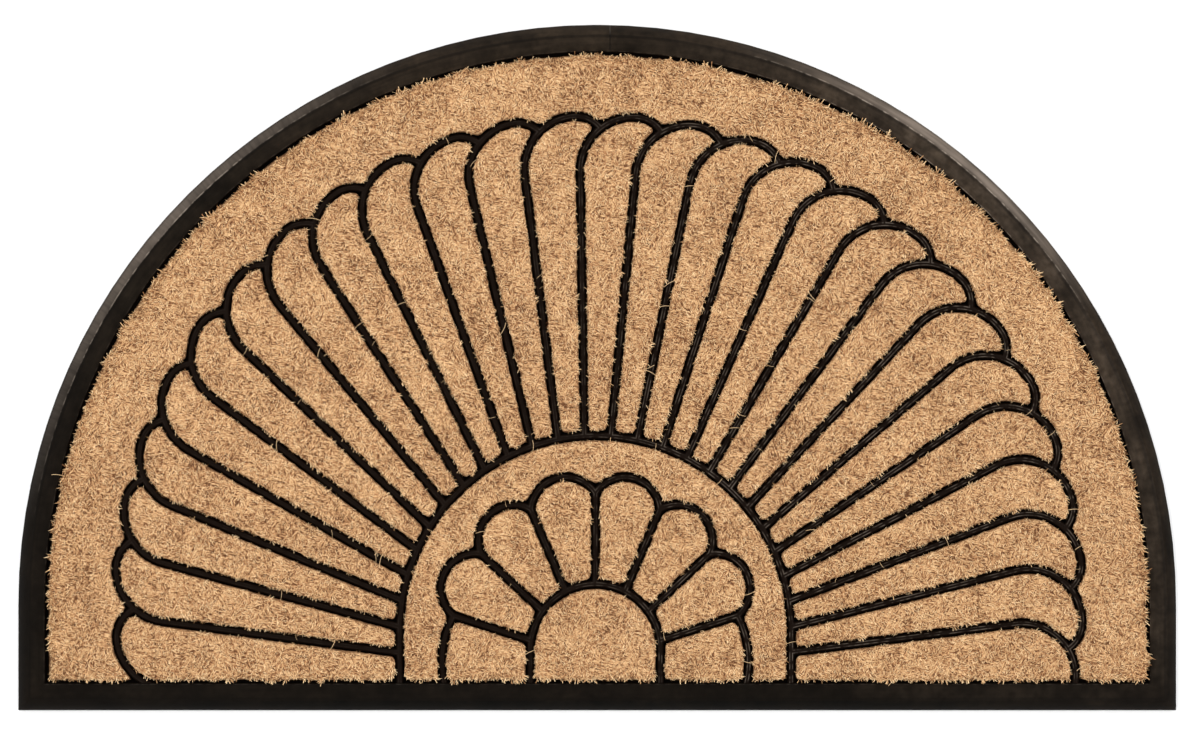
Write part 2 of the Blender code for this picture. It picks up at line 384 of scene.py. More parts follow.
def across(y):
    """A line over the whole width of the mat, from left to right."""
    return [Vector((-MAT_RADIUS, y)), Vector((MAT_RADIUS, y))]


def fan_curves():
    """Each rib with its arch, ended on the next one, and the stretch of it that faces the field."""
    whole = [rib_with_arch(number) for number in range(PETALS)]
    meets = whole[1:] + [across(FRONT_Y)]
    curves = []
    joined_at = None
    for path, following in zip(whole, meets):
        last, on_next, end = crossing(path, following)
        ended = path[: last + 1] + [end]
        arch = ended if joined_at is None else [joined_at[1]] + ended[joined_at[0] + 1 :]
        curves.append((ended, arch))
        joined_at = (on_next, end)
    return curves


def rosette_cusps():
    """Where the rosette's petals meet, from left to right."""
    radii = [END_CUSP_RADIUS] + [CUSP_RADIUS] * (ROSETTE_PETALS - 3) + [END_CUSP_RADIUS]
    middle = (len(radii) - 1) / 2
    bearings = [math.pi / 2 - CUSP_STEP * (number - middle) for number in range(len(radii))]
    return [RING_CENTRE + radius * direction(bearing) for radius, bearing in zip(radii, bearings)]


def arch_between(start, end, radius):
    """The clockwise arc of less than half a turn from one point to another."""
    chord = end - start
    outward = Vector((-chord.y, chord.x)).normalized()
    centre = (start + end) / 2 - outward * math.sqrt(radius**2 - chord.length_squared / 4)
    first = angle_of(start - centre)
    turn = 2 * math.asin(chord.length / (2 * radius))
    return arc(centre, radius, first, first - turn)


def outer_arch(cusp, side):
    """The flatter arch outside an end petal, from its cusp down to the mat's straight edge."""
    rise = cusp.y - ROSETTE_FOCUS.y
    fall = FRONT_Y - ROSETTE_FOCUS.y
    reach = math.sqrt(OUTER_ARCH_RADIUS**2 - rise**2)
    centre = Vector((cusp.x - side * reach, ROSETTE_FOCUS.y))
    turns = [math.asin(height / OUTER_ARCH_RADIUS) for height in (rise, fall)]
    points = arc(Vector((0.0, 0.0)), OUTER_ARCH_RADIUS, *turns)
    return [centre + Vector((side * point.x, point.y)) for point in points]


def rosette_arches():
    """The rosette's outer arches, clockwise from the left foot to the right foot."""
    cusps = rosette_cusps()
    between = [arch_between(*pair, ROSETTE_ARCH_RADIUS) for pair in zip(cusps, cusps[1:])]
    return [outer_arch(cusps[0], -1)[::-1]] + between + [outer_arch(cusps[-1], 1)]


def fan_cells(curves, ring):
    """The 27 petals between the ring and the arches."""
    wall = ("border", across(WALL_Y))
    ribs = [rib for rib, _ in curves[1:]]
    clockwise_sides = [("rib", rib) for rib in ribs] + [wall]
    other_sides = [[("rib", curves[0][1][::-1]), wall]] + [[("rib", rib[::-1])] for rib in ribs]
    cells = {}
    for number, (clockwise, other) in enumerate(zip(clockwise_sides, other_sides), 1):
        cells[f"coir_petal_{number:02d}"] = [clockwise, *other, ("rib", ring[::-1])]
    return cells


def rosette_cells(arches, disc):
    """The rosette's eight petals between its arches and the half disc."""
    wall = ("border", across(WALL_Y))
    ribs = [[ROSETTE_FOCUS, cusp] for cusp in rosette_cusps()]
    clockwise_sides = [("rib", rib) for rib in ribs] + [wall]
    other_sides = [wall] + [("rib", rib[::-1]) for rib in ribs]
    cells = {}
    for number, (arch, clockwise, other) in enumerate(zip(arches, clockwise_sides, other_sides), 1):
        cells[f"coir_rosette_{number}"] = [clockwise, ("rib", arch[::-1]), other, ("rib", disc[::-1])]
    return cells


def all_cells():
    """Every pad's cell, by the name of its node: its sides anticlockwise, each a kind and a path."""
    wall = ("border", across(WALL_Y))
    round_wall = ("border", half_round(MAT_CENTRE, MAT_RADIUS - BORDER_WIDTH, FRONT_Y))
    ring = half_round(RING_CENTRE, RING_RADIUS, FRONT_Y)
    disc = half_round(DISC_CENTRE, DISC_RADIUS, FRONT_Y)
    curves = fan_curves()
    arches = rosette_arches()
    fan_rim = [("rib", arch) for _, arch in curves]
    rosette_rim = [("rib", arch) for arch in arches]
    cells = {"coir_field": [wall, *fan_rim, wall, round_wall]}
    cells.update(fan_cells(curves, ring))
    cells["coir_band"] = [wall, *rosette_rim, wall, ("rib", ring)]
    cells.update(rosette_cells(arches, disc))
    cells["coir_half_disc"] = [wall, ("rib", disc)]
    return cells


class Channel:
    """A number or a vector in a node tree, whose Python operators add Math nodes."""

    def __init__(self, nodes, socket):
        self.nodes = nodes
        self.socket = socket

    def math(self, operation, *others):
        return self.nodes.add("ShaderNodeMath", [self, *others], operation=operation)

    def vector_math(self, operation, *others):
        return self.nodes.add("ShaderNodeVectorMath", [self, *others], operation=operation)

    def __rsub__(self, other):
        return self.nodes.add("ShaderNodeMath", [other, self], operation="SUBTRACT")

    __add__ = __radd__ = partialmethod(math, "ADD")
    __mul__ = __rmul__ = partialmethod(math, "MULTIPLY")
    __sub__ = partialmethod(math, "SUBTRACT")
    __truediv__ = partialmethod(math, "DIVIDE")
    __pow__ = partialmethod(math, "POWER")
    __gt__ = partialmethod(math, "GREATER_THAN")
    __lt__ = partialmethod(math, "LESS_THAN")

    def between(self, low, high):
        """0 below low, 1 above high, and an even slope from one to the other."""
        sockets = {"Value": self, "From Min": low, "From Max": high}
        return self.nodes.add("ShaderNodeMapRange", sockets, "Result", clamp=True)

    def within(self, start, full, fading, end):
        """0 up to start, 1 from full to fading, 0 again from end, and even slopes between them."""
        return self.between(start, full) * (1 - self.between(fading, end))

    def sibling(self, name):
        """Another output of the same node."""
        return Channel(self.nodes, self.socket.node.outputs[name])

    def parts(self):
        """The X, Y and Z of a vector."""
        separated = self.nodes.add("ShaderNodeSeparateXYZ", [self])
        return [separated.sibling(axis) for axis in "XYZ"]


class Nodes:
    """The nodes of a tree, added one at a time."""

    def __init__(self, tree):
        self.tree = tree

    def add(self, kind, sockets=(), output=0, stops=(), **settings):
        """Adds a node, sets it up, feeds its sockets and gives one of its outputs."""
        node = self.tree.nodes.new(kind)
        for _ in stops[2:]:
            node.color_ramp.elements.new(1.0)
        for number, (place, colour) in enumerate(stops):
            node.color_ramp.elements[number].position = place
            node.color_ramp.elements[number].color = colour
        for name, value in settings.items():
            setattr(node, name, value)
        pairs = sockets.items() if isinstance(sockets, dict) else enumerate(sockets)
        for key, value in pairs:
            self.feed(node.inputs[key], value)
        return Channel(self, node.outputs[output])

    def feed(self, socket, value):
        if isinstance(value, Channel):
            self.tree.links.new(value.socket, socket)
        else:
            socket.default_value = value

    def vector(self, x=0.0, y=0.0, z=0.0):
        return self.add("ShaderNodeCombineXYZ", [x, y, z])

    def grain(self, size, detail=1.0, at=None):
        """Noise from 0 to 1 whose spots are about as wide as size."""
        sockets = {"Vector": at or self.place(), "Scale": 1 / size, "Detail": detail}
        return self.add("ShaderNodeTexNoise", sockets, "Fac")


class Finish(Nodes):
    """A material's nodes."""

    def __init__(self, name):
        self.material = bpy.data.materials.new(name)
        self.material.use_nodes = True
        super().__init__(self.material.node_tree)
        self.shader = self.tree.nodes["Principled BSDF"]

    def place(self):
        """The object's own coordinates."""
        return self.add("ShaderNodeTexCoord", output="Object")

    def attribute(self, name):
        return self.add("ShaderNodeAttribute", output="Fac", attribute_name=name)

    def spread(self, size, detail, at=None):
        """Noise with its contrast raised to the whole of 0 to 1."""
        return self.grain(size, detail, at).between(0.32, 0.68)

    def dashes(self, turn):
        """Small dashes that lie at an angle: pale along the middle, each with its own shade."""
        turned = self.add("ShaderNodeMapping", {"Vector": self.place(), "Rotation": (0.0, 0.0, turn)})
        scale = (1 / DASH_LENGTH, 1 / DASH_WIDTH, 1 / DASH_WIDTH)
        stretched = self.add("ShaderNodeMapping", {"Vector": turned, "Scale": scale})
        from_middle = self.add("ShaderNodeTexVoronoi", {"Vector": stretched, "Scale": 1.0}, "Distance")
        own = self.add("ShaderNodeSeparateColor", [from_middle.sibling("Color")])
        return 0.45 * own + 0.85 * (1 - from_middle)

    def mix(self, share, first, second):
        return self.add("ShaderNodeMix", {0: share, 6: first, 7: second}, 2, data_type="RGBA")

    def bump(self, height, depth):
        sockets = {"Height": height, "Distance": depth, "Strength": 1.0}
        return self.add("ShaderNodeBump", sockets, "Normal")

    def wear(self, sockets):
        for name, value in sockets.items():
            self.feed(self.shader.inputs[name], value)


def rubber_finish(looks):
    """Black rubber with dust on the border, partly painted light where it lies heavier on the right and top
    and painted reflection on the arcs' sloping rim, painted shade on the rim along the straight edge, thin
    pale lines of painted highlight along the edges and ribs, and the mould's seam.
    """
    finish = Finish("dusty_rubber")
    from_edge = finish.attribute("from_edge")
    from_rib = finish.attribute("from_rib")
    to_centre = {"Vector": finish.place(), "Location": (-MAT_CENTRE.x, -MAT_CENTRE.y, 0.0)}
    east, north, _ = finish.add("ShaderNodeMapping", to_centre).parts()
    _, _, height = finish.place().parts()
    bearing = north.math("ARCTAN2", east)
    along = bearing * MAT_RADIUS

    streaks = finish.spread(0.0024, 3.0, finish.vector(along * 0.08, from_edge))
    brushed = finish.spread(0.0030, 2.0, finish.vector(along, from_edge * 0.15))
    clouds = finish.spread(0.022, 4.0)
    scuffs = finish.spread(0.0050, 4.0)
    grit = finish.grain(0.0006, 2.0)

    on_rim = 1 - from_edge.between(*RIM_TO_FLAT)
    on_flat = (1 - on_rim) * (1 - from_edge.between(*FLAT_TO_WALL))
    left_arc = bearing.within(*LEFT_ARC)
    right_arc = bearing.within(*RIGHT_ARC)
    right_side = bearing.within(*RIGHT_SIDE)
    top = bearing.within(*TOP)
    off_floor = height.between(*OFF_FLOOR)

    # Grey on the arcs' sloping rim: partly dust, partly painted reflection where the rim faces the light
    up_rim = from_edge.between(*DUST_AND_SHEEN_STARTS) * (1 - 0.2 * from_edge.between(*DUST_AND_SHEEN_THINS))
    left_dust_and_sheen = left_arc * (0.28 + 0.22 * brushed + 0.13 * clouds)
    right_dust_and_sheen = right_arc * (0.36 + 0.52 * streaks + 0.30 * clouds)
    grey = on_rim * up_rim * off_floor * (left_dust_and_sheen + right_dust_and_sheen)
    # Brown and a grey haze on the border: partly dust, partly painted light, laid on heavier on the right
    # side and top where the border shows lighter
    beside_rim = 1 - 0.5 * from_edge.within(*THINNER_BESIDE_RIM)
    mottled = (0.25 + 0.65 * clouds) * (0.65 + 0.5 * scuffs) * (0.75 + 0.4 * streaks) * beside_rim
    shown = on_rim * (0.8 + 0.4 * top) + on_flat * (1 + 0.7 * left_arc)
    brown = shown * (0.10 + 0.62 * right_side + 0.28 * top) * mottled * off_floor
    haze_and_light = on_flat * right_side * (0.02 + 0.09 * clouds * scuffs)

    # Painted highlights: thin pale lines on the sloping rim's crease and the border's inner top edge,
    # stronger on the arcs, and on the ribs' shoulders, stronger to the right, broken up by noise
    highlighted = scuffs.between(0.35, 0.75)
    on_right = 0.06 + 0.94 * east.between(*LEFT_TO_RIGHT)
    rim_highlight = from_edge.within(*RIM_LINE) * (0.5 * left_arc + 0.9 * right_arc)
    pocket_highlight = from_edge.within(*POCKET_LINE) * (0.05 + 0.15 * right_side + 0.35 * right_arc)
    rib_highlight = from_rib.within(*RIB_LINE) * on_right * (0.14 + 0.26 * clouds)
    on_seam = 1 - (east - SEAM_X).math("ABSOLUTE").between(*SEAM_HALF_WIDTH)
    seam = on_seam * (1 - from_edge.between(*SEAM_END)) * (north > 0.0)
    pale_seam = seam * (1 - from_edge.between(*PALE_SEAM_END)) * 0.10
    lines = (rim_highlight + pocket_highlight + rib_highlight) * highlighted + pale_seam

    # Painted shade: the sloping rim along the straight edge is darker, as it faces away from the light
    shaded_bottom_rim = on_rim * bearing.within(*BOTTOM)
    outside = finish.mix(shaded_bottom_rim, looks.rubber_colour, looks.rubber_black_and_shade)
    clean = finish.mix(from_edge.between(*BORDER_TO_RIBS), outside, looks.rubber_inside)
    # Brown dust with painted light, then grey dust with painted reflection, laid over the rubber
    browned = finish.mix(brown.math("MINIMUM", 1.0), clean, looks.rubber_brown_dust_and_light)
    dusted_and_lit = finish.mix((grey + haze_and_light).math("MINIMUM", 1.0), browned, looks.rubber_dust_and_sheen)
    seamed = finish.mix(seam * 0.6, dusted_and_lit, looks.rubber_black_and_shade)
    finish.wear(
        {
            "Base Color": finish.mix(lines, seamed, looks.rubber_highlight_and_seam),
            "Roughness": 0.36 + 0.10 * scuffs + 0.35 * (grey + brown).math("MINIMUM", 1.0),
            "Specular IOR Level": 0.025,
            "Normal": finish.bump(0.3 * scuffs + 0.5 * grit - seam, 0.00016),
        }
    )
    return finish.material


def coir_finish(looks):
    """Cut coir: each fibre its own shade from dark brown to straw, and between them the same in dashes, with
    painted shade at the fibres' roots and between them, deeper low on a pad's flank.
    """
    finish = Finish("coir_fibre")
    is_fibre = finish.attribute("fibre")
    between_fibres = 1 - is_fibre
    first_way = finish.grain(0.0075) > 0.5
    second_way = finish.grain(0.0055) > 0.5
    level, rising, falling = (finish.dashes(turn) for turn in DASH_TURNS)
    other = second_way * rising + (1 - second_way) * falling
    dashes = first_way * level + (1 - first_way) * other
    dashed = (dashes - 0.42) * 0.9 + finish.attribute("patch")
    shade = is_fibre * finish.attribute("shade") + between_fibres * dashed
    stops = (
        (0.0, looks.coir_dark),
        (0.15, looks.coir_shade),
        (0.42, looks.coir_tan),
        (0.95, looks.coir_straw),
    )
    coir = finish.add("ShaderNodeValToRGB", [shade.math("MAXIMUM", 0.0)], stops=stops)
    # Painted shade: the fibres darken towards their roots, and the coir between them darkens, more so low on
    # a pad's flank
    _, _, height = finish.place().parts()
    deep = 1 - height.between(0.0085, 0.0125)
    root = is_fibre * (1 - finish.attribute("tip").between(0.0, 0.5)) * 0.5
    sunk = between_fibres * (0.15 + 0.5 * deep)
    finish.wear(
        {
            "Base Color": finish.mix(root + sunk, coir, looks.coir_deep_shade),
            "Roughness": 0.85,
            "Specular IOR Level": 0.2,
            "Normal": finish.bump(between_fibres * dashes, 0.0006),
        }
    )
    return finish.material


def new_mesh(name, points, faces, numbers):
    """A closed mesh with its faces turned out, and named numbers on each of its points."""
    mesh = bpy.data.meshes.new(name)
    mesh.from_pydata([tuple(map(float, point)) for point in points], [], faces)
    for key, values in numbers.items():
        layer = mesh.attributes.new(key, "FLOAT", "POINT")
        layer.data.foreach_set("value", np.asarray(values, np.float32))
    mesh.validate()
    edited = bmesh.new()
    edited.from_mesh(mesh)
    bmesh.ops.recalc_face_normals(edited, faces=edited.faces)
    edited.to_mesh(mesh)
    edited.free()
    return mesh


def add_wall(points, faces, loops):
    """Adds a wall through closed loops of points, each on the one before, and gives their points' numbers."""
    rows = []
    for loop in loops:
        rows.append(list(range(len(points), len(points) + len(loop))))
        points += loop
    for row, following in zip(rows, rows[1:]):
        faces += zip(row, row[1:] + row[:1], following[1:] + following[:1], following)
    return rows


def filled(places, loops, keep_first_only=False):
    """Triangles inside the first loop. Loops are lists of point numbers; the others are its holes."""
    flat = [Vector((float(place[0]), float(place[1]))) for place in places]
    _, _, triangles, origins, _, sources = delaunay_2d_cdt(flat, [], loops, 0, 1e-7)
    kept = []
    for triangle, source in zip(triangles, sources):
        if 0 in source and not (keep_first_only and len(source) > 1):
            kept.append(tuple(origins[corner][0] for corner in triangle))
    return kept


def filled_rows(points, rows, keep_first_only=False):
    """The same triangles, from rows of the numbers that points have in their mesh."""
    used = [number for row in rows for number in row]
    place_of = {number: place for place, number in enumerate(used)}
    loops = [[place_of[number] for number in row] for row in rows]
    triangles = filled([points[number] for number in used], loops, keep_first_only)
    return [tuple(used[corner] for corner in face) for face in triangles]


def swept(points, faces, sides, insets, profile):
    """Adds a profile swept round a closed line: its rows of points, and how far in each point is."""
    loops = zip(nested_loops(sides, insets, TRAY_STEP), profile)
    rows = add_wall(points, faces, [[(x, y, height) for x, y in loop] for loop, (_, height) in loops])
    return rows, [inset for row, (inset, _) in zip(rows, profile) for _ in row]


def tray_mesh(cells):
    """The tray: a border swept round the mat, a sheet at the ribs' height, and a pocket for each cell."""
    points = []
    faces = []
    mat = [("edge", across(FRONT_Y)), ("edge", half_round(MAT_CENTRE, MAT_RADIUS, FRONT_Y - BORDER_WIDTH))]
    border_insets = [{"edge": inset} for inset, _ in BORDER_PROFILE]
    pocket_insets = [{"rib": inset, "border": max(LEDGE, inset - BORDER_STEEPER)} for inset, _ in RIB_PROFILE]
    rows, from_edge = swept(points, faces, mat, border_insets, BORDER_PROFILE)
    from_rib = [0.0] * len(points)
    faces.append(tuple(reversed(rows[0])))
    sheet = [rows[-1]]
    for sides in cells.values():
        rows, from_rib_here = swept(points, faces, sides, pocket_insets, RIB_PROFILE)
        from_rib += from_rib_here
        sheet.append(rows[0])
        faces += filled_rows(points, rows[-1:])
    from_edge += [BORDER_WIDTH * 2] * (len(points) - len(from_edge))
    faces += filled_rows(points, sheet, True)
    return new_mesh("rubber_tray_moulding", points, faces, {"from_edge": from_edge, "from_rib": from_rib})


def softened(loop, passes):
    """The loop with its corners rounded off by moving each point towards its neighbours."""
    for _ in range(passes):
        loop = loop / 2 + (np.roll(loop, 1, axis=0) + np.roll(loop, -1, axis=0)) / 4
    return loop


def drift(x, y, layers):
    """The sum of some layers of smooth noise at a place, each up to about its strength either way."""
    return sum(strong * noise.noise(Vector((x / wide, y / wide, layer))) for strong, wide, layer in layers)


def ragged(loop, reach, share):
    """The loop with its points pushed in and out, up to about reach beside a rib, more beside the arc."""
    outward = outward_of(loop)
    pushes = []
    for (x, y), (sideways, _) in zip(loop, outward):
        beside_arc = faces_border(x, y)
        wild = 1.05 + drift(x, y, EDGE_WILD) + 1.1 * beside_arc
        wander = drift(x, y, EDGE_WANDER) * wild + drift(x, y, EDGE_BROAD) * beside_arc
        shift = beside_arc * (SLOT_LEAN * x / MAT_RADIUS - SLOT_WIDER)
        hang = (1 - beside_arc) * SIDE_HANG * abs(sideways)
        pushes.append((wander * reach + shift + hang) * share)
    return loop + outward * np.array(pushes)[:, None]


def uneven_grid(loop, step, seed):
    """Uneven grid points over a loop's box, none of them close to the loop."""
    draw = random.Random(seed)
    low = loop.min(axis=0)
    columns, rows = ((loop.max(axis=0) - low) / (step, step * ROW_SPACING)).astype(int) + 1
    near = kdtree.KDTree(len(loop))
    for number, (x, y) in enumerate(loop):
        near.insert(Vector((x, y, 0.0)), number)
    near.balance()
    places = []
    for row in range(rows):
        for column in range(columns):
            x = low[0] + (column + 0.5 * (row % 2) + draw.uniform(-GRID_WANDER, GRID_WANDER)) * step
            y = low[1] + (row * ROW_SPACING + draw.uniform(-GRID_WANDER, GRID_WANDER)) * step
            if near.find(Vector((x, y, 0.0)))[2] > step / 2:
                places.append((x, y))
    return places


def faces_border(x, y):
    """1 right beside the border's arc, less beside its straight runs, and 0 some millimetres off it."""
    pocket = MAT_RADIUS - BORDER_WIDTH
    from_arc = pocket - math.hypot(x - MAT_CENTRE.x, max(y - MAT_CENTRE.y, 0.0))
    beside_arc = min(1.0, max(0.0, 2.0 - from_arc / RIM_REACH))
    beside_straight = min(1.0, max(0.0, 2.0 - (y - WALL_Y) / RIM_REACH))
    return max(beside_arc, STRAIGHT_REACH * beside_straight)


def outward_of(loop):
    """For each point of a closed loop that runs anticlockwise, the way out of it."""
    along = np.roll(loop, -1, axis=0) - np.roll(loop, 1, axis=0)
    outward = np.column_stack([along[:, 1], -along[:, 0]])
    return outward / np.linalg.norm(outward, axis=1)[:, None]


def map_pad(mesh, spots):
    """Lays a pad out on its map as seen from above, its flank pushed out and its foot in a corner."""
    layer = mesh.uv_layers.new(name="OFBake")
    spots = np.array(spots)
    low = spots.min(axis=0)
    span = spots.max(axis=0) - low
    corner = np.array([MAP_EDGE, PAD_ON_MAP])
    room = np.array([1 - 2 * MAP_EDGE, 1 - MAP_EDGE - PAD_ON_MAP])
    for face in mesh.polygons:
        is_foot = len(face.vertices) > 4
        for loop in face.loop_indices:
            share = (spots[mesh.loops[loop].vertex_index] - low) / span
            layer.uv[loop].vector = share * FOOT_ON_MAP if is_foot else corner + share * room


def pad_mesh(name, sides, number, ragged_by):
    """A pad without its fibres: a steep flank, a soft shoulder and an uneven top."""
    insets = [{"rib": PILE_TO_RIB_LINE + row[0], "border": PILE_TO_BORDER + row[0]} for row in PAD_PROFILE]
    points, rooted, spots, flank = [], [], [], []
    loops = nested_loops(sides, insets, PILE_STEP)
    for loop, (_, height, grows, aside, raggedness) in zip(loops, PAD_PROFILE):
        loop = softened(loop, CORNER_ROUNDING)
        spots += list(loop + outward_of(loop) * aside)
        loop = ragged(loop, ragged_by, raggedness)
        flank.append([(x, y, height + raggedness * drift(x, y, TOP_LUMPS)) for x, y in loop])
        rooted += [grows] * len(loop)
    count = len(loop)
    faces = [tuple(reversed(range(count)))]
    rim = add_wall(points, faces, flank)[-1]
    edge = [points[place][:2] for place in rim]
    inner = uneven_grid(np.array(edge), PAD_GRID, number)
    triangles = filled(edge + inner, [list(range(count))])
    kept = sorted({corner for face in triangles for corner in face if corner >= count})
    place_of = dict(enumerate(rim)) | {corner: len(points) + place for place, corner in enumerate(kept)}
    for corner in kept:
        x, y = inner[corner - count]
        points.append((x, y, PAD_TOP + drift(x, y, TOP_LUMPS)))
        spots.append(np.array([x, y]))
        rooted.append(1.0)
    faces += [tuple(place_of[corner] for corner in face) for face in triangles]
    numbers = {
        "rooted": rooted,
        "patch": [drift(x, y, SHADE_PATCHES) for x, y, _ in points],
        "reach_out": [faces_border(x, y) * (grows > 1.0) for (x, y, _), grows in zip(points, rooted)],
    }
    mesh = new_mesh(name, points, faces, numbers)
    map_pad(mesh, spots)
    mesh.shade_smooth()
    return mesh


class Planting(Nodes):
    """A Geometry Nodes tree that plants cut fibres and loose hairs on a pad and joins them to it."""

    def __init__(self, material):
        super().__init__(bpy.data.node_groups.new("cut_fibres", "GeometryNodeTree"))
        face = self.tree.interface
        face.new_socket("Finished pad", in_out="OUTPUT", socket_type="NodeSocketGeometry")
        kinds = {"Pad": "Geometry"} | dict.fromkeys(PLANTING_SIZES, "Float")
        kinds |= {"Lean": "Vector", "Seed": "Int"}
        for name, kind in kinds.items():
            face.new_socket(name, in_out="INPUT", socket_type=f"NodeSocket{kind}")
        first = self.add("NodeGroupInput")
        self.given = {name: first.sibling(name) for name in kinds}
        self.half_width = 0.5 * self.given["Width"]
        self.rooted = self.named("rooted")
        joined = self.add("GeometryNodeJoinGeometry")
        for made in (self.cut_fibres(), self.loose_hairs(), self.given["Pad"]):
            self.feed(joined.socket.node.inputs[0], made)
        laid = self.spread_by_shade(self.add("GeometryNodeRealizeInstances", [joined]))
        covered = self.add("GeometryNodeSetMaterial", {"Geometry": laid, "Material": material})
        self.feed(self.tree.nodes.new("NodeGroupOutput").inputs[0], covered)

    def place(self):
        """The place of each point."""
        return self.add("GeometryNodeInputPosition")

    def named(self, name, kind="FLOAT"):
        """A number or a vector that the mesh carries under that name."""
        return self.add("GeometryNodeInputNamedAttribute", {"Name": name}, "Attribute", data_type=kind)

    def stored(self, geometry, name, value, kind="FLOAT", domain="POINT"):
        sockets = {"Geometry": geometry, "Name": name, "Value": value}
        return self.add("GeometryNodeStoreNamedAttribute", sockets, data_type=kind, domain=domain)

    def drawn(self, low, high, salt):
        """A random number for each fibre or hair."""
        sockets = {2: low, 3: high, 8: self.given["Seed"] + salt}
        return self.add("FunctionNodeRandomValue", sockets, 1, data_type="FLOAT")

    def cracks(self):
        """1 in the short cracks between tufts, and 0 elsewhere."""
        wander = self.grain(0.007).sibling("Color")
        warped = wander.vector_math("MULTIPLY_ADD", (0.012, 0.012, 0.0), self.place())
        cells = {"Vector": warped, "Scale": 1 / CRACK_SPACING}
        from_crack = self.add("ShaderNodeTexVoronoi", cells, "Distance", feature="DISTANCE_TO_EDGE")
        return (1 - from_crack.between(0.0, CRACK_WIDTH)) * self.grain(0.011).between(0.50, 0.60)

    def on_strip(self, strand, across, tip):
        """Lays a fibre or hair out on its strip of the pad's map, by each place's share across and up it."""
        spot = self.vector(STRIP_WIDTH * across, FIBRE_ON_MAP * (0.85 * tip + 0.06))
        return self.stored(self.stored(strand, "OFBake", spot, "FLOAT2", "CORNER"), "fibre", 1.0)

    def one_fibre(self):
        """A blunt fibre with three sides, which stands a little below the origin."""
        length = self.given["Length"]
        sizes = {"Vertices": 3, "Radius Top": 0.0, "Radius Bottom": self.half_width, "Depth": length}
        spike = self.add("GeometryNodeMeshCone", sizes, fill_type="NGON")
        x, y, height = self.place().parts()
        across = x / self.half_width
        tip = height / length
        raised = {"Geometry": spike, "Offset": self.vector(z=(across > 0.5) * length)}
        blunt = self.add("GeometryNodeSetPosition", raised)
        mapped = self.on_strip(blunt, y / self.half_width + (across - 0.5) * tip, tip)
        lowered = {"Geometry": self.stored(mapped, "tip", tip), "Translation": (0.0, 0.0, -FIBRE_SUNK)}
        return self.add("GeometryNodeTransform", lowered)

    def one_hair(self):
        """A long hair that starts at the origin and bends over along X: a thin tube with three sides."""
        bend = {"Resolution": HAIR_STEPS, "Start": HAIR_START, "Middle": HAIR_BEND, "End": HAIR_END}
        curve = self.add("GeometryNodeCurveQuadraticBezier", bend)
        along = self.add("GeometryNodeSplineParameter", output="Factor")
        circle = {"Resolution": 3, "Radius": HAIR_THICKNESS * self.half_width}
        section = self.stored(self.add("GeometryNodeCurvePrimitiveCircle", circle), "round", along)
        bent = self.stored(curve, "tip", 0.5 * along + 0.5)
        tubed = {"Curve": bent, "Profile Curve": section, "Fill Caps": True}
        tube = self.add("GeometryNodeCurveToMesh", tubed)
        return self.on_strip(tube, self.named("round"), self.named("tip"))

    def roots(self, density, seed):
        """Random places on the pad, so many to a square metre."""
        sockets = {"Mesh": self.given["Pad"], "Density": density, "Seed": seed}
        return self.add("GeometryNodeDistributePointsOnFaces", sockets, distribute_method="RANDOM")

    def grown(self, roots, strand, axis, heading, scale, shade):
        """The strand on every root, with that axis of its own turned along the heading."""
        turned = self.add("FunctionNodeAlignRotationToVector", {"Vector": heading}, axis=axis)
        sockets = {"Points": roots, "Instance": strand, "Rotation": turned, "Scale": scale}
        strands = self.add("GeometryNodeInstanceOnPoints", sockets)
        return self.stored(strands, "shade", shade, "FLOAT", "INSTANCE")

    def cut_fibres(self):
        """The pile's fibres, which lean in tufts, are shorter beside a rib and in a crack, and are darker in
        a crack as painted shade.
        """
        roots = self.roots(self.rooted * self.given["Fibres per square metre"], self.given["Seed"])
        tufts = self.grain(TUFT_SIZE)
        crack = self.cracks()
        reach_out = self.named("reach_out")

        aside, along = (self.drawn(-OWN_LEAN, OWN_LEAN, salt) for salt in (11, 23))
        astray = self.vector(aside, along, self.given["Uprightness"])
        combed = tufts.sibling("Color").vector_math("MULTIPLY_ADD", *COMB)
        outwards = roots.sibling("Normal").vector_math("MULTIPLY", reach_out)
        leaning = combed.vector_math("ADD", self.given["Lean"]).vector_math("ADD", outwards)
        heading = astray.vector_math("ADD", leaning)

        on_rim = (self.rooted > 1.05) * (0.75 + RIM_TRIM - 1.5 * tufts)
        on_flank = (self.rooted < 0.95) * FLANK_TRIM
        trim = (on_rim + on_flank) * (reach_out < 0.1)
        longer = 1 + reach_out * self.drawn(*REACHES_OUT, 71) - CRACK_TRIM * crack
        scale = self.drawn(*FIBRE_LENGTHS, 37) * (longer - trim)

        own = self.drawn(*OWN_SHADES, 53) ** SHADE_CURVE
        # Fibres in a crack are darker: painted shade in the gaps between tufts
        unclamped = own + 0.5 * tufts - 0.25 + self.named("patch") - CRACK_PAINTED_SHADE * crack
        shade = self.add("ShaderNodeClamp", [unclamped])
        return self.grown(roots, self.one_fibre(), "Z", heading, scale, shade)

    def loose_hairs(self):
        """A few loose hairs on top, and more at the rim, where they head out over the ribs."""
        at_rim = (self.rooted > 1.2) * self.given["Hairs at rim"]
        on_top = (self.rooted > 0.9) * self.given["Hairs on top"]
        roots = self.roots(at_rim + on_top, self.given["Seed"] + 5)
        outward = roots.sibling("Normal").vector_math("MULTIPLY", (2.0, 2.0, 0.0))
        stray = self.vector(self.drawn(-1.0, 1.0, 83), self.drawn(-1.0, 1.0, 89))
        heading = outward.vector_math("ADD", stray)
        return self.grown(roots, self.one_hair(), "X", heading, self.drawn(*HAIR_LENGTHS, 97), HAIR_SHADE)

